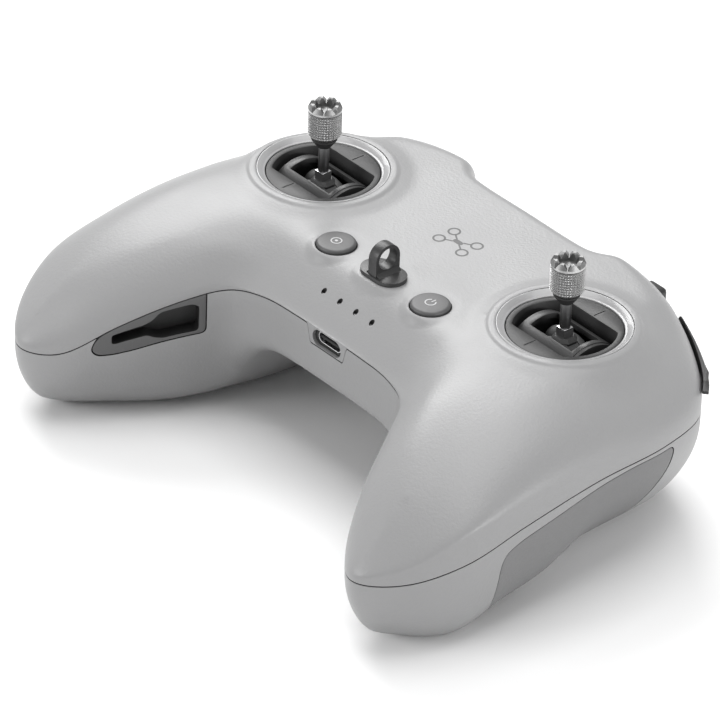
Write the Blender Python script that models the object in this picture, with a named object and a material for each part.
"""Two-stick radio transmitter controller, built as separate parts.

Frame: metres, +Z up, +Y away from the user, +X to the user's right, origin on the
table under the middle of the object. Sizes below are in millimetres and are
turned into metres when a mesh is made.
"""
import math

import bmesh
import bpy
import numpy
from mathutils import Matrix, Vector, geometry

MM = 0.001
GAP = 0.3                      # clearance between neighbouring pieces

# ---------------------------------------------------------------- driving sizes
FRAME_SHIFT_Y = -2.2           # moves the drawing so that its box is centred on the origin
WALL = 2.0                     # shell wall thickness
LOOP_POINTS = 560              # points on the fine outline, about one every millimetre
LOOP_STEP = 7                  # every seventh point carries a column of faces
GRID_STEP = 10.0               # spacing of the crown and belly points
FACE_TOP, FACE_FALL, FACE_REAR = 52.6, 0.02, 49.0  # the face is almost level from its rear edge
FACE_SLOPE, FACE_BEND = 0.84, -1.0                 # then it bends down to the user
BEND_ROWS, BEND_REACH = (-5.0, -2.2, 0.4), 30.0    # rows of points that carry the bend

# Half outline from the rear centre to the front centre, seen from above:
# x, y, seam height, wall above the seam, wall below it, top rounding, bottom rounding
OUTLINE = (
    (0.0, 54.5, 32.0, 15.0, 12.0, 4.0, 8.0),
    (18.0, 54.5, 32.0, 15.0, 12.0, 4.0, 8.0),
    (23.0, 55.1, 32.0, 15.0, 12.0, 4.0, 8.0),
    (28.0, 58.6, 31.8, 15.0, 12.0, 4.0, 8.0),
    (33.0, 59.5, 31.6, 14.0, 12.0, 5.0, 8.0),
    (46.0, 59.2, 31.0, 11.0, 9.0, 9.0, 12.0),
    (61.0, 55.0, 31.0, 6.0, 4.0, 16.0, 18.0),
    (74.0, 45.5, 32.0, 3.0, 2.0, 20.0, 22.0),
    (80.3, 28.5, 33.0, 2.0, 1.0, 20.0, 25.0),
    (82.0, 5.0, 32.8, 3.0, 1.0, 20.0, 24.0),
    (82.5, -18.0, 29.4, 6.0, 2.0, 18.0, 15.0),
    (81.8, -37.0, 25.0, 8.0, 2.0, 17.0, 12.0),
    (76.0, -51.5, 22.0, 4.0, 0.5, 18.0, 20.0),
    (66.0, -59.3, 21.0, 1.0, 0.5, 18.0, 22.0),
    (56.5, -53.5, 21.5, 0.5, 1.5, 16.0, 22.0),
    (48.0, -41.5, 29.5, 0.5, 7.0, 14.0, 18.0),
    (40.5, -28.0, 35.5, 0.8, 12.0, 12.0, 10.0),
    (33.5, -17.5, 38.8, 0.6, 12.5, 8.0, 7.0),
    (24.0, -14.1, 40.0, 0.3, 12.0, 5.0, 5.0),
    (12.0, -13.5, 40.4, 0.3, 12.0, 4.0, 5.0),
    (0.0, -13.5, 40.5, 0.3, 12.0, 4.0, 5.0),
)
X, Y, SEAM, UP, DOWN, ROUND_TOP, ROUND_BOTTOM = range(7)
OUTER_STEPS = (0.4, 1.6, 3.6)            # distances in from the outline that carry face rows
INNER_STEPS = (0.5, 1.6)                 # the same for the inner skin, from a wall's thickness in
TOP_POWER, BOTTOM_POWER = 2.1, 2.2       # how square the rounded edges are
SEAM_GAP = 0.3
FOOT_CUT = 1.5                           # how far the grips' round undersides are cut flat to stand
FEET = ((46.5, 3.0, 55.5, 43.0), (59.5, -40.0, 64.0, -33.0))     # plan boxes inside those flats, right side

PORT_TAB = (6.6, 8.9, 5.6)               # half width below and above, depth of the seam's tab

GIMBAL_X, GIMBAL_Y = 46.9, 23.5
RIM_RADIUS = 17.2                        # opening in the top shell
LIP_FLAT, LIP_RADIUS, LIP_HEIGHT = 18.2, 22.2, 1.4       # soft raised lip round that opening
PLATE_TOP, PLATE_RADIUS, PLATE_THICK = 52.3, 14.7, 1.3
PIVOT_Z = 40.8
SLOT_REACH, SLOT_HALF = 13.1, 9.1        # gimbal plate's opening, radius of its ends and half width
CUP_RADIUS, CUP_BASE, CUP_TOP = 17.0, 27.0, 49.7
YOKE_RADIUS, YOKE_WALL, YOKE_HALF = 11.2, 1.4, 10.2
YOKE_END = 1.1                           # thickness of the yoke's end plates
YOKE_WINDOW = (7.8, 4.5)
SADDLE_RADIUS, SADDLE_HALF = 8.8, 3.7
AXLE_RADIUS, STUB_RADIUS = 1.2, 1.6
SHAFT_RADIUS, SHAFT_TOP = 1.42, 66.0
COLLAR_SIDE, COLLAR_TOP = 3.0, 52.7
NUT = (59.9, 62.6, 1.8, 3.4)             # bottom, top, small radius, large radius
CAP = (62.9, 72.5, 4.4)                 # bottom, top, radius
CAP_PRONGS = 8

BUTTON_X, BUTTON_Y, BUTTON_RADIUS = 18.3, 4.3, 5.25
LED_X = (-9.3, -3.1, 3.1, 9.3)
LED_Y, LED_RADIUS = -6.9, 0.65
PORT_Z, PORT_SIZE = 38.0, (8.94, 7.4, 3.26)
PORT_RECESS = (11.0, 4.6)

BOARD = ((-28.0, -9.4, 40.4), (28.0, 46.0, 42.0))
BATTERY = ((-27.0, -2.0, 27.0), (27.0, 40.0, 37.0))
SCREWS = ((32.0, 44.0), (61.5, -36.5), (62.0, 12.0))

PALE = ("shell_grey", (0.56, 0.56, 0.57), 0.48, 0.0)
DARK = ("dark_plastic", (0.055, 0.055, 0.058), 0.42, 0.0)
BUTTON_GREY = ("button_grey", (0.16, 0.16, 0.165), 0.4, 0.0)
RUBBER = ("pad_rubber", (0.17, 0.17, 0.17), 0.7, 0.0)
TRIM = ("gloss_trim", (0.5, 0.5, 0.5), 0.15, 0.0)
STEEL = ("steel", (0.55, 0.55, 0.56), 0.25, 1.0)
ALLOY = ("alloy", (0.62, 0.62, 0.63), 0.3, 1.0)
BOARD_GREEN = ("board", (0.03, 0.12, 0.06), 0.5, 0.0)
CELL = ("battery_wrap", (0.06, 0.07, 0.1), 0.5, 0.0)
LENS = ("led_lens", (0.7, 0.7, 0.7), 0.2, 0.0)


# ---------------------------------------------------------------- small helpers
def clear_scene():
    for old in list(bpy.data.objects):
        bpy.data.objects.remove(old, do_unlink=True)


def material(slot):
    name, colour, roughness, metallic = slot
    found = bpy.data.materials.get(name)
    if found:
        return found
    made = bpy.data.materials.new(name)
    made.use_nodes = True
    shader = made.node_tree.nodes["Principled BSDF"]
    shader.inputs["Base Color"].default_value = (*colour, 1.0)
    shader.inputs["Roughness"].default_value = roughness
    shader.inputs["Metallic"].default_value = metallic
    return made


def to_world(point):
    """Drawing millimetres to world metres."""
    return Vector((point[0] * MM, (point[1] + FRAME_SHIFT_Y) * MM, point[2] * MM))


def make_object(name, points, faces, slot, origin=(0.0, 0.0, 0.0), sharp=35.0):
    """A mesh object from drawing points, with its origin at a drawing point."""
    home = to_world(origin)
    mesh = bpy.data.meshes.new(name)
    mesh.from_pydata([to_world(point) - home for point in points], [], faces)
    mesh.update()
    mesh.shade_smooth()
    mesh.set_sharp_from_angle(angle=math.radians(sharp))
    made = bpy.data.objects.new(name, mesh)
    made.location = home
    mesh.materials.append(material(slot))
    bpy.context.scene.collection.objects.link(made)
    return made


def as_cutter(target):
    target.hide_render = True
    target.display_type = "WIRE"
    return target


def boolean(target, other, operation="DIFFERENCE"):
    modifier = target.modifiers.new(operation.lower(), "BOOLEAN")
    modifier.operation = operation
    modifier.solver = "EXACT"
    modifier.object = as_cutter(other)
    return target


def box_mesh(low, high):
    xs, ys, zs = zip(low, high)
    points = [(x, y, z) for z in zs for y in ys for x in xs]
    faces = [(0, 2, 3, 1), (4, 5, 7, 6), (0, 1, 5, 4), (2, 6, 7, 3), (0, 4, 6, 2), (1, 3, 7, 5)]
    return points, faces


def box(name, low, high, slot, bevel=0.0, **options):
    made = make_object(name, *box_mesh(low, high), slot, **options)
    if bevel:
        modifier = made.modifiers.new("edges", "BEVEL")
        modifier.width = bevel * MM
        modifier.segments = 2
    return made


def turned_mesh(profile, segments, place=None):
    """Rings from (radius, height) pairs, bottom to top on the outside; radius 0 closes on the axis."""
    place = place or Matrix.Identity(4)
    points, rings, faces = [], [], []
    for radius, height in profile:
        count = 1 if radius == 0 else segments
        start = len(points)
        for k in range(count):
            angle = math.tau * k / segments
            local = Vector((radius * math.cos(angle), radius * math.sin(angle), height))
            points.append(tuple(place @ local))
        rings.append([start + k for k in range(count)])
    pairs = list(zip(rings, rings[1:]))
    if len(rings[0]) > 1:
        pairs.append((rings[-1], rings[0]))
    for low, high in pairs:
        for k in range(segments):
            j = (k + 1) % segments
            corner = [low[k % len(low)], low[j % len(low)], high[j % len(high)], high[k % len(high)]]
            unique = list(dict.fromkeys(corner))
            if len(unique) > 2:
                faces.append(unique)
    return points, faces


def turned(name, profile, slot, segments=24, place=None, **options):
    return make_object(name, *turned_mesh(profile, segments, place), slot, **options)


def rod_profile(radius, low, high):
    return ((0, low), (radius, low), (radius, high), (0, high))


def place_along(centre, direction):
    """A matrix that puts the turning axis on a direction through a drawing point."""
    turn = Vector(direction).to_track_quat("Z", "Y").to_matrix().to_4x4()
    return Matrix.Translation(Vector(centre)) @ turn


def prism_mesh(outline, low, high, place=None):
    """A flat outline in X and Y, counter-clockwise, extruded from low to high."""
    place = place or Matrix.Identity(4)
    count = len(outline)
    points = [tuple(place @ Vector((x, y, z))) for z in (low, high) for x, y in outline]
    faces = [tuple(range(count))[::-1], tuple(range(count, 2 * count))]
    faces += [(k, (k + 1) % count, count + (k + 1) % count, count + k) for k in range(count)]
    return points, faces


def arc(centre, radius, start, end, count):
    """Points on an arc, angles in degrees."""
    angles = [math.radians(start + (end - start) * k / (count - 1)) for k in range(count)]
    return [(centre[0] + radius * math.cos(a), centre[1] + radius * math.sin(a)) for a in angles]


# ---------------------------------------------------------------- the body's outline
def catmull(previous, start, end, following, share):
    """Centripetal Catmull-Rom between two rows of the outline."""
    rows = (previous, start, end, following)
    knots = [0.0]
    for one, two in zip(rows, rows[1:]):
        knots.append(knots[-1] + math.sqrt(math.hypot(two[0] - one[0], two[1] - one[1])))
    t = knots[1] + (knots[2] - knots[1]) * share

    def blend(one, two, low, high):
        weight = (t - low) / (high - low)
        return one * (1 - weight) + two * weight

    first = [blend(rows[k], rows[k + 1], knots[k], knots[k + 1]) for k in range(3)]
    second = [blend(first[k], first[k + 1], knots[k], knots[k + 2]) for k in range(2)]
    return blend(second[0], second[1], knots[1], knots[2])


def body_loop():
    """The closed outline as evenly spaced, lightly smoothed rows, clockwise from the rear centre."""
    half = numpy.array(OUTLINE)
    mirrored = half[1:-1][::-1] * numpy.array([-1, 1, 1, 1, 1, 1, 1])
    rows = numpy.vstack([half, mirrored])
    count = len(rows)
    dense = [catmull(rows[k - 1], rows[k], rows[(k + 1) % count], rows[(k + 2) % count], s / 12)
             for k in range(count) for s in range(12)]
    dense = numpy.vstack([dense, dense[:1]])
    lengths = numpy.hypot(*numpy.diff(dense[:, :2], axis=0).T)
    along = numpy.concatenate([[0.0], numpy.cumsum(lengths)])
    even = numpy.linspace(0.0, along[-1], LOOP_POINTS, endpoint=False)
    loop = numpy.stack([numpy.interp(even, along, dense[:, k]) for k in range(7)], axis=1)
    for _ in range(5):
        loop = 0.5 * loop + 0.25 * (numpy.roll(loop, 1, axis=0) + numpy.roll(loop, -1, axis=0))
    return loop


def inward_normals(loop):
    ahead = numpy.roll(loop, -1, axis=0) - numpy.roll(loop, 1, axis=0)
    ahead = ahead[:, :2] / numpy.linalg.norm(ahead[:, :2], axis=1)[:, None]
    return numpy.stack([ahead[:, 1], -ahead[:, 0]], axis=1)


LOOP = body_loop()
INWARD = inward_normals(LOOP)


def nearest_on_loop(x, y):
    """Distance from a plan point to the outline, and the outline row there."""
    starts, ends = LOOP, numpy.roll(LOOP, -1, axis=0)
    steps = ends[:, :2] - starts[:, :2]
    offset = numpy.array([x, y]) - starts[:, :2]
    share = numpy.clip((offset * steps).sum(axis=1) / (steps * steps).sum(axis=1), 0.0, 1.0)
    distance = numpy.hypot(*(offset - steps * share[:, None]).T)
    best = int(distance.argmin())
    return float(distance[best]), starts[best] * (1 - share[best]) + ends[best] * share[best]


def inside_loop(x, y, loop=LOOP):
    one, two = loop[:, :2], numpy.roll(loop[:, :2], -1, axis=0)
    spans = (one[:, 1] > y) != (two[:, 1] > y)
    crossing = (two[:, 0] - one[:, 0]) * (y - one[:, 1]) / (two[:, 1] - one[:, 1] + 1e-12) + one[:, 0]
    return bool((spans & (x < crossing)).sum() % 2)


# ---------------------------------------------------------------- the body's heights
def fade(value, middle, width):
    return 1.0 / (1.0 + math.exp(-(value - middle) / width))


def smooth_step(value):
    value = min(max(value, 0.0), 1.0)
    return value * value * (3.0 - 2.0 * value)


def crown(x, y):
    """Height of the top face, without its rounded edge."""
    side = abs(x)
    centre = FACE_TOP - FACE_FALL * max(FACE_REAR - y, 0.0)
    centre -= FACE_SLOPE * math.log1p(math.exp(min(FACE_BEND - y, 60.0)))
    grip = 52.2 - 0.0058 * max(5.0 - y, 0.0) ** 2
    share = fade(side, 36.0, 4.0)
    fall = 0.004 * max(side - 47.0, 0.0) ** 2 + 0.004 * max(y - 10.0, 0.0) * max(side - 50.0, 0.0)
    lip_reach = math.hypot(side - GIMBAL_X, y - GIMBAL_Y)
    lip = LIP_HEIGHT * (1.0 - smooth_step((lip_reach - LIP_FLAT) / (LIP_RADIUS - LIP_FLAT)))
    return centre * (1.0 - share) + grip * share - fall + lip


def belly(x, y):
    """Height of the underside before it is cut flat at the table."""
    side = abs(x)
    centre = 24.0 - 0.18 * max(y + 10.0, 0.0)
    waist = 3.0 * math.exp(-((y + 18.0) / 14.0) ** 2)
    hump = 0.018 * max(side - 50.0, 0.0) ** 2 * fade(y, 3.0, 5.0)
    share = fade(side, 34.0, 3.5)
    return centre * (1.0 - share) + (waist + hump - FOOT_CUT) * share


def rounded(share, power):
    share = min(max(share, 0.0), 1.0)
    return (1.0 - (1.0 - share) ** power) ** (1.0 / power)


def top_height(x, y, distance, row, inset=0.0):
    """Height of the top skin; an inset gives the skin that much inside it."""
    wall = row[SEAM] + row[UP]
    share = (distance - inset) / (row[ROUND_TOP] - inset)
    return wall + (crown(x, y) - inset - wall) * rounded(share, TOP_POWER)


def bottom_height(x, y, distance, row, inset=0.0):
    wall = row[SEAM] - row[DOWN]
    share = (distance - inset) / (row[ROUND_BOTTOM] - inset)
    return max(wall + (belly(x, y) + inset - wall) * rounded(share, BOTTOM_POWER), inset)


def surface_point(index, distance, height_of, inset=0.0):
    """A point of the body a given distance in from the outline."""
    row, normal = LOOP[index], INWARD[index]
    x, y = row[X] + normal[0] * distance, row[Y] + normal[1] * distance
    return (x, y, height_of(x, y, distance, row, inset))


def seam_height(row):
    """The parting line, with its tab under the charging port."""
    if row[Y] > 0:
        return row[SEAM]
    narrow, wide, depth = PORT_TAB
    return row[SEAM] - depth * min(max((wide - abs(row[X])) / (wide - narrow), 0.0), 1.0)


# ---------------------------------------------------------------- the two shells
def shell_columns():
    """Outline points that carry columns, closer together at the port's tab."""
    even = range(0, LOOP_POINTS, LOOP_STEP)
    near_port = [k for k in range(0, LOOP_POINTS, 2) if abs(LOOP[k][X]) < 9.5 and LOOP[k][Y] < 0]
    return sorted(set(even) | set(near_port))


def plan_points(holes, top):
    """Inner plan points on a grid, clear of the outer rows and of the holes."""
    reach = OUTER_STEPS[-1] + 0.45 * GRID_STEP
    found = []
    for ix in range(-8, 9):
        for iy in range(-6, 7):
            x, y = ix * GRID_STEP, iy * GRID_STEP
            if not inside_loop(x, y) or nearest_on_loop(x, y)[0] < reach:
                continue
            if top and iy == 0 and abs(x) <= BEND_REACH:
                found += [(x, row) for row in BEND_ROWS]
                continue
            if all(math.hypot(x - hx, y - hy) > radius + 2.0 for hx, hy, radius in holes):
                found.append((x, y))
    return found


def gimbal_rings(centre):
    """The rim's circle, and two rings of points that carry the raised lip."""
    rim = arc(centre, RIM_RADIUS, 0, 360, 25)[:-1]
    lip = arc(centre, 0.5 * (RIM_RADIUS + LIP_RADIUS), 7, 367, 25)[:-1]
    foot = arc(centre, LIP_RADIUS, 0, 360, 19)[:-1]
    clear = [point for point in lip + foot if nearest_on_loop(*point)[0] > OUTER_STEPS[-1] + 1.0]
    return rim, clear


def fill_plan(top, ring):
    """Triangles over the plan inside the ring, without the top's gimbal openings."""
    border = numpy.array(ring)
    points = [Vector(point) for point in ring]
    edges = [(k, (k + 1) % len(ring)) for k in range(len(ring))]
    centres = [(side * GIMBAL_X, GIMBAL_Y) for side in (-1, 1)] if top else []
    circles = []
    for centre in centres:
        rim, lip = gimbal_rings(centre)
        start = len(points)
        points += [Vector(point) for point in rim]
        edges += [(start + k, start + (k + 1) % len(rim)) for k in range(len(rim))]
        points += [Vector(point) for point in lip]
        circles.append(rim)
    for side, (x0, y0, x1, y1) in [(side, foot) for side in (-1, 1) for foot in FEET if not top]:
        start = len(points)
        points += [Vector((side * x, y)) for x, y in ((x0, y0), (x1, y0), (x1, y1), (x0, y1))]
        edges += [(start + k, start + (k + 1) % 4) for k in range(4)]
    points += [Vector(point) for point in plan_points([(*centre, LIP_RADIUS) for centre in centres], top)]
    plan, _, triangles, *_ = geometry.delaunay_2d_cdt(points, edges, [], 1, 1e-5, False)
    kept = []
    for triangle in triangles:
        middle = sum((plan[k] for k in triangle), Vector((0, 0))) / 3
        in_rim = any(math.dist(middle, centre) < RIM_RADIUS * 0.98 for centre in centres)
        if inside_loop(middle.x, middle.y, border) and not in_rim:
            kept.append(triangle)
    return plan, kept, circles


def plan_key(x, y):
    """A plan point as whole hundredths of a millimetre, to find it again after the filling."""
    return (int(round(float(x) * 100)), int(round(float(y) * 100)))


def shell_skin(top, inset, steps, filling, points, faces):
    """One skin of a shell, added to points and faces; returns its rim and its hole circles."""
    columns = shell_columns()
    height_of = top_height if top else bottom_height
    edge = 0.0 if top else SEAM_GAP
    rows = [[(*surface_point(k, inset, height_of)[:2], seam_height(LOOP[k]) - edge) for k in columns]]
    for step in (0.0, *steps):
        rows.append([surface_point(k, inset + step, height_of, inset) for k in columns])
    start, count = len(points), len(columns)
    sunk = (lambda point: point) if top else (lambda point: sink_for_pad(point, inset))
    points += [sunk(point) for row in rows for point in row]
    for level in range(len(rows) - 1):
        for k in range(count):
            j = (k + 1) % count
            low, high = start + level * count, start + (level + 1) * count
            faces.append((low + k, low + j, high + j, high + k))
    plan, triangles, circles = filling
    last = start + (len(rows) - 1) * count
    numbers = {plan_key(x, y): last + k for k, (x, y, _) in enumerate(rows[-1])}
    for x, y in plan:
        if plan_key(x, y) not in numbers:
            distance, row = nearest_on_loop(x, y)
            numbers[plan_key(x, y)] = len(points)
            points.append(sunk((x, y, height_of(x, y, distance, row, inset))))
    for triangle in triangles:
        faces.append(tuple(numbers[plan_key(*plan[k])] for k in triangle))
    rim = [start + k for k in range(count)]
    return [rim] + [[numbers[plan_key(*point)] for point in circle] for circle in circles]


def shell_mesh(top):
    """A closed shell: outer skin, inner skin and the strips that join them at each edge."""
    ring = [surface_point(k, OUTER_STEPS[-1], top_height)[:2] for k in shell_columns()]
    filling = fill_plan(top, ring)
    points, faces = [], []
    outer_edges = shell_skin(top, 0.0, OUTER_STEPS, filling, points, faces)
    inner_edges = shell_skin(top, WALL, INNER_STEPS, filling, points, faces)
    for outer, inner in zip(outer_edges, inner_edges):
        for k in range(len(outer)):
            j = (k + 1) % len(outer)
            faces.append((outer[k], outer[j], inner[j], inner[k]))
    return points, faces


def face_outwards(target):
    """Turn every face of a closed mesh to point out of it."""
    mesh = bmesh.new()
    mesh.from_mesh(target.data)
    bmesh.ops.recalc_face_normals(mesh, faces=mesh.faces)
    mesh.to_mesh(target.data)
    mesh.free()
    return target


def thicken(target, thickness, offset=-1.0):
    modifier = target.modifiers.new("wall", "SOLIDIFY")
    modifier.thickness = thickness * MM
    modifier.offset = offset
    return target


# ---------------------------------------------------------------- inlays on the body
def patch_mesh(indices, rows):
    """A skin over a stretch of the outline; each row gives a point for an outline index."""
    points = [row(k) for row in rows for k in indices]
    count, faces = len(indices), []
    for level in range(len(rows) - 1):
        for k in range(count - 1):
            low = level * count + k
            faces.append((low, low + 1, low + count + 1, low + count))
    return points, faces


def index_near(x, y):
    return int(numpy.hypot(LOOP[:, X] - x, LOOP[:, Y] - y).argmin())


def stretch(start, end, step):
    """Outline indices between two plan points, clockwise."""
    first, last = index_near(*start), index_near(*end)
    if last < first:
        last += LOOP_POINTS
    count = max(int(round((last - first) / step)), 1)
    return [int(round(first + (last - first) * k / count)) % LOOP_POINTS for k in range(count + 1)]


def side_stretch(start, end, step, side):
    """The same stretch on the right, or its mirror on the left, always clockwise."""
    if side > 0:
        return stretch(start, end, step)
    return stretch((-end[0], end[1]), (-start[0], start[1]), step)


PAD_START, PAD_END = (79.3, 32.6), (82.3, -25.6)
PAD_STEPS = (0.35, 1.2, 3.0, 6.0, 9.5, 13.0)
PAD_THICK = 1.2
PAD_SEAT = (-35.0, 42.0, 18.0)           # front and rear of the seat in the shell, and how far in it goes


def grip_pad(name, side):
    """Rubber inlay that wraps under the outer side of a grip."""
    indices = side_stretch(PAD_START, PAD_END, 4, side)
    rows = [lambda k, step=step: surface_point(k, step, bottom_height) for step in PAD_STEPS]
    made = make_object(name, *patch_mesh(indices, rows), RUBBER)
    return thicken(made, PAD_THICK)


def sink_for_pad(point, inset):
    """Move a point of the bottom shell inwards where the pads are let into it."""
    x, y, z = point
    distance, row = nearest_on_loop(x, y)
    front, rear, depth_in = PAD_SEAT
    beside = front < row[Y] < rear and abs(row[X]) > 60
    wall_foot = row[SEAM] - row[DOWN]
    below = z < wall_foot - 0.2 or (inset > 0 and z < wall_foot + 0.1)
    if not (beside and below and distance < depth_in):
        return point
    inward = Vector((x - row[X], y - row[Y]))
    inward = inward.normalized() if distance > 0.01 else Vector((-math.copysign(1, x), 0))
    lean = min((distance - inset) / (row[ROUND_BOTTOM] - inset), 1.0) * math.pi / 2
    depth = PAD_THICK + 2 * GAP
    across = math.cos(lean) * depth
    return (x + inward.x * across, y + inward.y * across, z + math.sin(lean) * depth)


STORE_START, STORE_END = (51.2, -46.6), (37.1, -22.0)
STORE_DEPTH = 6.5
STORE_HEIGHTS = (-0.3, -11.2)            # top and bottom edge against the seam, at the wide end
STORE_TAPER = 0.52                       # the bottom edge's drop at the narrow end, against the wide end
POCKET_CAP, POCKET_SHAFT = 3.7, 1.5      # radii of the recess for a stowed stick
POCKET_AXIS = ((38.2, -24.0, -5.9), (43.6, -33.6, -5.0), (48.9, -43.0, -3.0))


def store_row(drop_wide, drop_narrow, outward):
    """One edge of the storage insert: it gets shallower towards the grip's tip."""
    narrow_y, wide_y = STORE_START[1], STORE_END[1]

    def point(k):
        row, normal = LOOP[k], INWARD[k]
        share = (row[Y] - wide_y) / (narrow_y - wide_y)
        drop = drop_wide * (1 - share) + drop_narrow * share
        return (row[X] - normal[0] * outward, row[Y] - normal[1] * outward, row[SEAM] + drop)

    return point


def store_skin(side, outward, widen):
    indices = side_stretch(STORE_START, STORE_END, 5, side)
    if widen:
        before, after = (indices[0] - 1) % LOOP_POINTS, (indices[-1] + 1) % LOOP_POINTS
        indices = [before] + indices[1:-1] + [after]
    high, low = STORE_HEIGHTS
    rows = [store_row(high + widen, high + widen, outward),
            store_row(low - widen, low * STORE_TAPER - widen, outward)]
    return patch_mesh(indices, rows)


def pocket_cutters(name, side):
    """The key-shaped recess: a wide part for the stick's cap and a narrow one for its shaft."""
    ends = []
    for x, y, drop in POCKET_AXIS:
        row = LOOP[index_near(side * x, y)]
        ends.append(Vector((row[X], row[Y], row[SEAM] + drop)))
    cutters = []
    for part, start, end, radius in (("cap", ends[0], ends[1], POCKET_CAP),
                                     ("shaft", ends[1], ends[2], POCKET_SHAFT)):
        direction = end - start
        profile = rod_profile(radius, -0.2, direction.length + 0.2)
        cutters.append(turned(f"{name}_{part}_cutter", profile, DARK, 16, place_along(start, direction)))
    return cutters


def stick_store(name, side):
    made = thicken(make_object(name, *store_skin(side, 0.0, 0.0), DARK), STORE_DEPTH)
    for cutter in pocket_cutters(name, side):
        boolean(made, cutter)
    return made


def store_cutter(name, side):
    return thicken(make_object(name, *store_skin(side, 2.0, GAP), DARK), STORE_DEPTH + 2.0 + GAP)


PANEL_START, PANEL_END = (50.0, 58.4), (73.0, 46.7)
PANEL_STAND, PANEL_THICK = (1.6, 2.3), 1.2      # stand-off at the start and at the outer end


def shoulder_panel(name, side):
    """Dark strip that stands off the rear shoulder and carries its controls."""
    indices = side_stretch(PANEL_START, PANEL_END, 4, side)
    rows = []
    for step, lift in ((None, 1.6), (0.0, -0.4), (0.9, 0.0)):
        rows.append(lambda k, step=step, lift=lift: panel_point(k, step, lift))
    made = make_object(name, *patch_mesh(indices, rows[::-1]), DARK)
    return thicken(made, PANEL_THICK)


def panel_point(k, step, lift):
    row, normal = LOOP[k], INWARD[k]
    if step is None:
        x, y, z = row[X], row[Y], row[SEAM]
    else:
        x, y, z = surface_point(k, step, top_height)
    share = (abs(row[X]) - PANEL_START[0]) / (PANEL_END[0] - PANEL_START[0])
    stand = PANEL_STAND[0] * (1 - share) + PANEL_STAND[1] * share
    return (x - normal[0] * stand, y - normal[1] * stand, z + lift)


# ---------------------------------------------------------------- gimbals
def slot_outline():
    bow = math.degrees(math.asin(SLOT_HALF / SLOT_REACH))
    right = arc((0, 0), SLOT_REACH, -bow, bow, 9)
    left = [(-x, -y) for x, y in right]
    return right + left


def gimbal_frame(name, x):
    """Fixed cup with the slotted plate on top and bores for the yoke's stubs."""
    floor, shoulder, roof = CUP_BASE + 1.2, CUP_TOP - 0.9, PLATE_TOP - PLATE_THICK
    outside = ((0, CUP_BASE), (CUP_RADIUS, CUP_BASE), (CUP_RADIUS, CUP_TOP),
               (PLATE_RADIUS, CUP_TOP), (PLATE_RADIUS, PLATE_TOP), (0, PLATE_TOP))
    inside = ((0, floor), (CUP_RADIUS - 1.2, floor), (CUP_RADIUS - 1.2, shoulder),
              (PLATE_RADIUS - 1.3, shoulder), (PLATE_RADIUS - 1.3, roof), (0, roof))
    here = Matrix.Translation((x, GIMBAL_Y, 0))
    made = turned(name, outside, DARK, 24, here)
    pocket = turned(name + "_pocket", inside, DARK, 24, here)
    slot = make_object(name + "_slot", *prism_mesh(slot_outline(), PLATE_TOP - 3, PLATE_TOP + 2, here), DARK)
    bore_place = place_along((x, GIMBAL_Y, PIVOT_Z), (1, 0, 0))
    bore = turned(name + "_bore", rod_profile(STUB_RADIUS + GAP, -20, 20), DARK, 16, bore_place)
    for cutter in (pocket, slot, bore):
        boolean(made, cutter)
    return made


def gimbal_ring(name, x):
    """Glossy cone between the shell's lip and the gimbal plate."""
    inner, outer = PLATE_RADIUS + GAP, RIM_RADIUS - GAP
    profile = ((inner, 50.0), (outer, 50.0), (outer, 53.3), (outer - 0.6, 53.45), (inner, PLATE_TOP + 0.05))
    return turned(name, profile, TRIM, 24, Matrix.Translation((x, GIMBAL_Y, 0)))


def gimbal_yoke(name, x):
    """Outer rocker: an arched roof with a window, two end plates and a stub at each end."""
    pivot = (x, GIMBAL_Y, PIVOT_Z)
    side_on = Matrix.Translation(pivot) @ Matrix.Rotation(math.radians(90), 4, "Z")
    side_on = side_on @ Matrix.Rotation(math.radians(90), 4, "X")
    inner, end = YOKE_RADIUS - YOKE_WALL, YOKE_HALF - YOKE_END
    roof = arc((0, 0), YOKE_RADIUS, -16, 196, 19) + arc((0, 0), inner, 196, -16, 15)
    made = make_object(name, *prism_mesh(roof, -end - 0.1, end + 0.1, side_on), DARK, origin=pivot)
    plate_outline = arc((0, 0), YOKE_RADIUS - 0.2, -13, 193, 19)
    for side in (-1, 1):
        low, high = sorted((side * end, side * YOKE_HALF))
        plate = make_object(f"{name}_plate_{side}", *prism_mesh(plate_outline, low, high, side_on), DARK)
        boolean(made, plate, "UNION")
        low, high = sorted((side * (YOKE_HALF - 0.5), side * (CUP_RADIUS - 0.3)))
        along_x = place_along(pivot, (1, 0, 0))
        stub = turned(f"{name}_stub_{side}", rod_profile(STUB_RADIUS, low, high), DARK, 16, along_x)
        boolean(made, stub, "UNION")
    window_x, window_y = YOKE_WINDOW
    window = box(name + "_window", (x - window_x, GIMBAL_Y - window_y, PIVOT_Z + 2),
                 (x + window_x, GIMBAL_Y + window_y, PIVOT_Z + 14), DARK)
    boolean(made, window)
    along_y = place_along(pivot, (0, 1, 0))
    bore = turned(name + "_bore", rod_profile(AXLE_RADIUS + GAP, -15, 15), DARK, 16, along_y)
    return boolean(made, bore)


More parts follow.
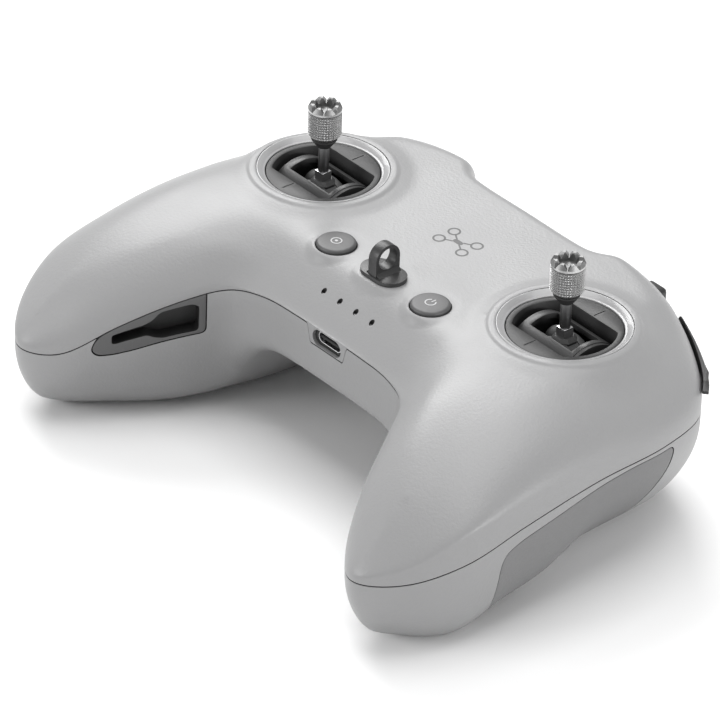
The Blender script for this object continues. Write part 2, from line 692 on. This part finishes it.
def gimbal_stick(name, x):
    """Inner rocker, its axle, the square collar and the stick's shaft."""
    pivot = (x, GIMBAL_Y, PIVOT_Z)
    across = place_along(pivot, (0, 1, 0))
    end = YOKE_RADIUS - 0.4
    profile = ((0, -end), (AXLE_RADIUS, -end), (AXLE_RADIUS, -SADDLE_HALF), (SADDLE_RADIUS, -SADDLE_HALF),
               (SADDLE_RADIUS, SADDLE_HALF), (AXLE_RADIUS, SADDLE_HALF), (AXLE_RADIUS, end), (0, end))
    made = turned(name, profile, DARK, 32, across, origin=pivot)
    half = COLLAR_SIDE / 2
    low, high = (x - half, GIMBAL_Y - half, PIVOT_Z + 4), (x + half, GIMBAL_Y + half, COLLAR_TOP)
    collar = box(name + "_collar", low, high, DARK)
    shaft = turned(name + "_shaft", rod_profile(SHAFT_RADIUS, PIVOT_Z + 6, SHAFT_TOP), STEEL, 16,
                   Matrix.Translation((x, GIMBAL_Y, 0)))
    boolean(made, collar, "UNION")
    return boolean(made, shaft, "UNION")


def stick_nut(name, x):
    low, high, small, large = NUT
    bore = SHAFT_RADIUS + GAP
    profile = ((bore, low), (small, low + 0.05), (large, high - 0.4), (large, high), (bore, high))
    return turned(name, profile, DARK, 16, Matrix.Translation((x, GIMBAL_Y, 0)))


def stick_cap(name, x):
    """Turned grip cap with a chamfered foot, a hollow crown and notches between its prongs."""
    low, high, radius = CAP
    bore = SHAFT_RADIUS + GAP
    profile = ((bore, low), (radius - 0.8, low), (radius, low + 0.8), (radius, high - 1.7),
               (radius - 0.7, high), (radius - 1.9, high), (radius - 1.9, high - 2.2),
               (0, high - 2.2), (0, SHAFT_TOP + GAP), (bore, SHAFT_TOP + GAP))
    here = Matrix.Translation((x, GIMBAL_Y, 0))
    made = turned(name, profile, ALLOY, 16, here)
    for k in range(CAP_PRONGS // 2):
        angle = 180.0 * k / (CAP_PRONGS // 2)
        turn = here @ Matrix.Rotation(math.radians(angle), 4, "Z")
        wedge = [(-0.75, high + 0.5), (-0.05, high - 1.5), (0.05, high - 1.5), (0.75, high + 0.5)]
        upright = turn @ Matrix.Rotation(math.radians(90), 4, "X")
        boolean(made, make_object(f"{name}_notch_{k}", *prism_mesh(wedge, -6, 6, upright), ALLOY))
    return made


def return_spring(name, x):
    inner, outer = STUB_RADIUS + GAP, 3.4
    profile = ((inner, 11.0), (outer, 11.0), (outer, 14.4), (inner, 14.4))
    return turned(name, profile, STEEL, 12, place_along((x, GIMBAL_Y, PIVOT_Z), (1, 0, 0)))


def sensor_board(name, x):
    near, half = GIMBAL_Y - CUP_RADIUS - GAP, 4.5
    return box(name, (x - half, near - 1.2, PIVOT_Z - half), (x + half, near, PIVOT_Z + half), BOARD_GREEN)


# ---------------------------------------------------------------- top controls
def crown_place(x, y):
    """The frame of a piece that stands upright on the top face at a plan point."""
    return Matrix.Translation((x, y, crown(x, y)))


def face_button(name, x):
    radius, top = BUTTON_RADIUS, 0.9
    profile = ((0, -5.3), (1.4, -5.3), (1.4, -2.4), (radius, -2.4), (radius, top - 0.5),
               (radius - 0.5, top), (0, top + 0.2))
    here = crown_place(x, BUTTON_Y)
    return turned(name, profile, BUTTON_GREY, 24, here, origin=tuple(here.translation))


def lanyard_hook(name):
    """Stadium foot and an upright eye, one moulding."""
    here = crown_place(0.0, 4.5)
    half_long, half_wide = 6.8, 4.3
    straight = half_long - half_wide
    foot = [(p + straight, q) for p, q in arc((0, 0), half_wide, -90, 90, 9)]
    foot += [(-p, -q) for p, q in foot]
    made = make_object(name, *prism_mesh(foot, GAP, 1.5, here), DARK)
    eye_y, eye_z, outer, inner = 0.0, 5.3, 3.85, 2.6
    outline = [(eye_y - outer, 0.8), (eye_y + outer, 0.8)] + arc((eye_y, eye_z), outer, 0, 180, 15)
    upright = here @ Matrix.Rotation(math.radians(90), 4, "Z") @ Matrix.Rotation(math.radians(90), 4, "X")
    eye = make_object(name + "_eye", *prism_mesh(outline, -1.5, 1.5, upright), DARK)
    hole = turned(name + "_hole", rod_profile(inner, -3, 3), DARK, 20,
                  upright @ Matrix.Translation((eye_y, eye_z, 0)))
    boolean(made, eye, "UNION")
    return boolean(made, hole)


def status_light(name, x):
    profile = rod_profile(LED_RADIUS, BOARD[1][2] + GAP, crown(x, LED_Y))
    return turned(name, profile, LENS, 8, Matrix.Translation((x, LED_Y, 0)))


# ---------------------------------------------------------------- shoulder controls
SHUTTER = ((36.8, 52.0, 43.4), (43.2, 61.5, 47.8))
DIAL_CENTRE, DIAL_RADIUS, DIAL_HALF, DIAL_AXLE = (-44.0, 57.6, 41.5), 5.2, 3.0, 1.2
SWITCH_AT, PAUSE_AT, SWITCH_HEIGHT = (62.5, 54.2), (-62.5, 54.2), 35.5
SWITCH_SLOT = (12.0, 3.2)                # leaves the slider 3.7 mm each way


def shutter_button(name):
    low, high = SHUTTER
    face = ((low[0] + high[0]) / 2, high[1], (low[2] + high[2]) / 2)
    return box(name, low, high, DARK, bevel=1.2, origin=face)


def gimbal_dial(name):
    place = place_along(DIAL_CENTRE, (1, 0, 0))
    radius, half = DIAL_RADIUS, DIAL_HALF
    axle, end = DIAL_AXLE, half + 1.6
    profile = ((0, -end), (axle, -end), (axle, -half), (radius - 0.6, -half), (radius, -half + 0.6),
               (radius, half - 0.6), (radius - 0.6, half), (axle, half), (axle, end), (0, end))
    return turned(name, profile, DARK, 24, place, origin=DIAL_CENTRE)


def wall_place(at, height):
    """A frame on the shoulder wall: local Z points out of it, local Y runs up."""
    k = index_near(*at)
    row, normal = LOOP[k], INWARD[k]
    outward = Vector((-normal[0], -normal[1], 0))
    up = Vector((0, 0, 1))
    across = up.cross(outward)
    turn = Matrix((across, up, outward)).transposed().to_4x4()
    return Matrix.Translation((row[X], row[Y], height)) @ turn


def block(name, place, size, low, high, slot, **options):
    half_x, half_y = size[0] / 2, size[1] / 2
    outline = [(-half_x, -half_y), (half_x, -half_y), (half_x, half_y), (-half_x, half_y)]
    return make_object(name, *prism_mesh(outline, low, high, place), slot, **options)


def shoulder_slider(name):
    """Three-position flight mode slider on the right shoulder."""
    place = wall_place(SWITCH_AT, SWITCH_HEIGHT)
    return block(name, place, (4.0, 2.6), -3.0, 2.7, DARK, origin=tuple(place.translation))


def shoulder_opening(name, side):
    if side > 0:
        return block(name, wall_place(SWITCH_AT, SWITCH_HEIGHT), SWITCH_SLOT, -8, 6, DARK)
    return turned(name, rod_profile(2.2 + GAP, -8, 6), DARK, 16, wall_place(PAUSE_AT, SWITCH_HEIGHT))


def pause_button(name):
    place = wall_place(PAUSE_AT, SWITCH_HEIGHT)
    profile = ((0, -3.0), (2.2, -3.0), (2.2, 2.3), (1.8, 2.7), (0, 2.8))
    return turned(name, profile, BUTTON_GREY, 16, place, origin=tuple(place.translation))


# ---------------------------------------------------------------- inside the case
def inner_parts():
    box("main_board", *BOARD, BOARD_GREEN)
    box("battery_cell", *BATTERY, CELL, bevel=2.0)
    length, depth, height = PORT_SIZE
    low = (-length / 2, -13.2, PORT_Z - height / 2)
    high = (length / 2, -13.2 + depth, PORT_Z + height / 2)
    shell = box("usb_receptacle", low, high, STEEL, bevel=1.3)
    mouth_low = (-length / 2 + 0.35, -16.0, PORT_Z - height / 2 + 0.35)
    mouth_high = (length / 2 - 0.35, -7.4, PORT_Z + height / 2 - 0.35)
    boolean(shell, box("usb_mouth", mouth_low, mouth_high, STEEL, bevel=1.0))
    box("usb_tongue", (-3.4, -12.2, PORT_Z - 0.35), (3.4, -7.4 - GAP, PORT_Z + 0.35), DARK)
    board_top = BOARD[1][2] + GAP
    for side, word in ((-1, "custom"), (1, "power")):
        spot = Matrix.Translation((side * BUTTON_X, BUTTON_Y, 0))
        switch_top = crown(BUTTON_X, BUTTON_Y) - 7.1
        block(word + "_tact_switch", spot, (6.0, 6.0), board_top, switch_top, DARK)
    for side, word in ((-1, "left"), (1, "right")):
        box(word + "_antenna", (side * 17 - 8, 49.6, 32.0), (side * 17 + 8, 50.6, 46.0), BOARD_GREEN)


def screw_seat(x, y):
    distance, row = nearest_on_loop(x, y)
    return bottom_height(x, y, distance, row)


def case_screws(bottom):
    """Recessed screws that close the case from below."""
    number = 0
    for x, y in SCREWS:
        for side in (-1, 1):
            number += 1
            seat = screw_seat(x, y)
            place = Matrix.Translation((side * x, y, seat))
            profile = ((0, 0.3), (2.0, 0.3), (2.0, 1.2), (0.9, 1.2), (0.9, 9.0), (0, 9.0))
            turned(f"case_screw_{number}", profile, STEEL, 12, place)
            pocket = ((0, -3.0), (2.4, -3.0), (2.4, 1.5), (1.2, 1.5), (1.2, 6.0), (0, 6.0))
            boolean(bottom, turned(f"screw_pocket_{number}", pocket, DARK, 12, place))


# ---------------------------------------------------------------- assembly
def shells():
    top = face_outwards(make_object("top_shell", *shell_mesh(True), PALE))
    bottom = face_outwards(make_object("bottom_shell", *shell_mesh(False), PALE))
    return top, bottom


def cut_top(top):
    for side, word in ((-1, "custom"), (1, "power")):
        place = crown_place(side * BUTTON_X, BUTTON_Y)
        boolean(top, turned(word + "_hole", rod_profile(BUTTON_RADIUS + GAP, -6, 4), DARK, 24, place))
    for k, x in enumerate(LED_X):
        place = Matrix.Translation((x, LED_Y, 0))
        boolean(top, turned(f"light_hole_{k}", rod_profile(LED_RADIUS + GAP, 38, 52), DARK, 8, place))
    wide, tall = PORT_RECESS
    low, high = (-wide / 2, -20, PORT_Z - tall / 2), (wide / 2, -5, PORT_Z + tall / 2)
    boolean(top, box("port_hole", low, high, DARK))
    low, high = SHUTTER
    low, high = (low[0] - GAP, low[1] - 3, low[2] - GAP), (high[0] + GAP, 66, high[2] + GAP)
    boolean(top, box("shutter_hole", low, high, DARK))
    x, y, z = DIAL_CENTRE
    reach = DIAL_RADIUS + GAP
    low, high = (x - DIAL_HALF - GAP, y - reach, z - reach), (x + DIAL_HALF + GAP, 68, z + reach)
    boolean(top, box("dial_hole", low, high, DARK))
    bearing = rod_profile(DIAL_AXLE + 0.05, -DIAL_HALF - 2.2, DIAL_HALF + 2.2)
    boolean(top, turned("dial_bearing", bearing, DARK, 16, place_along(DIAL_CENTRE, (1, 0, 0))))


def build():
    clear_scene()
    top, bottom = shells()
    cut_top(top)
    for side, word in ((-1, "left"), (1, "right")):
        x = side * GIMBAL_X
        grip_pad(word + "_grip_pad", side)
        stick_store(word + "_stick_store", side)
        boolean(bottom, store_cutter(word + "_store_cutter", side))
        panel = shoulder_panel(word + "_shoulder_panel", side)
        for target in (panel, top):
            boolean(target, shoulder_opening(f"{target.name}_{word}_opening", side))
        gimbal_frame(word + "_gimbal_frame", x)
        gimbal_ring(word + "_gimbal_ring", x)
        gimbal_yoke(word + "_gimbal_yoke", x)
        gimbal_stick(word + "_stick", x)
        stick_nut(word + "_stick_nut", x)
        stick_cap(word + "_stick_cap", x)
        return_spring(word + "_return_spring", x)
        sensor_board(word + "_sensor_board", x)
    face_button("custom_button", -BUTTON_X)
    face_button("power_button", BUTTON_X)
    lanyard_hook("lanyard_hook")
    for k, x in enumerate(LED_X):
        status_light(f"status_light_{k + 1}", x)
    shutter_button("shutter_button")
    gimbal_dial("gimbal_dial")
    shoulder_slider("mode_switch")
    pause_button("pause_button")
    inner_parts()
    case_screws(bottom)


build()
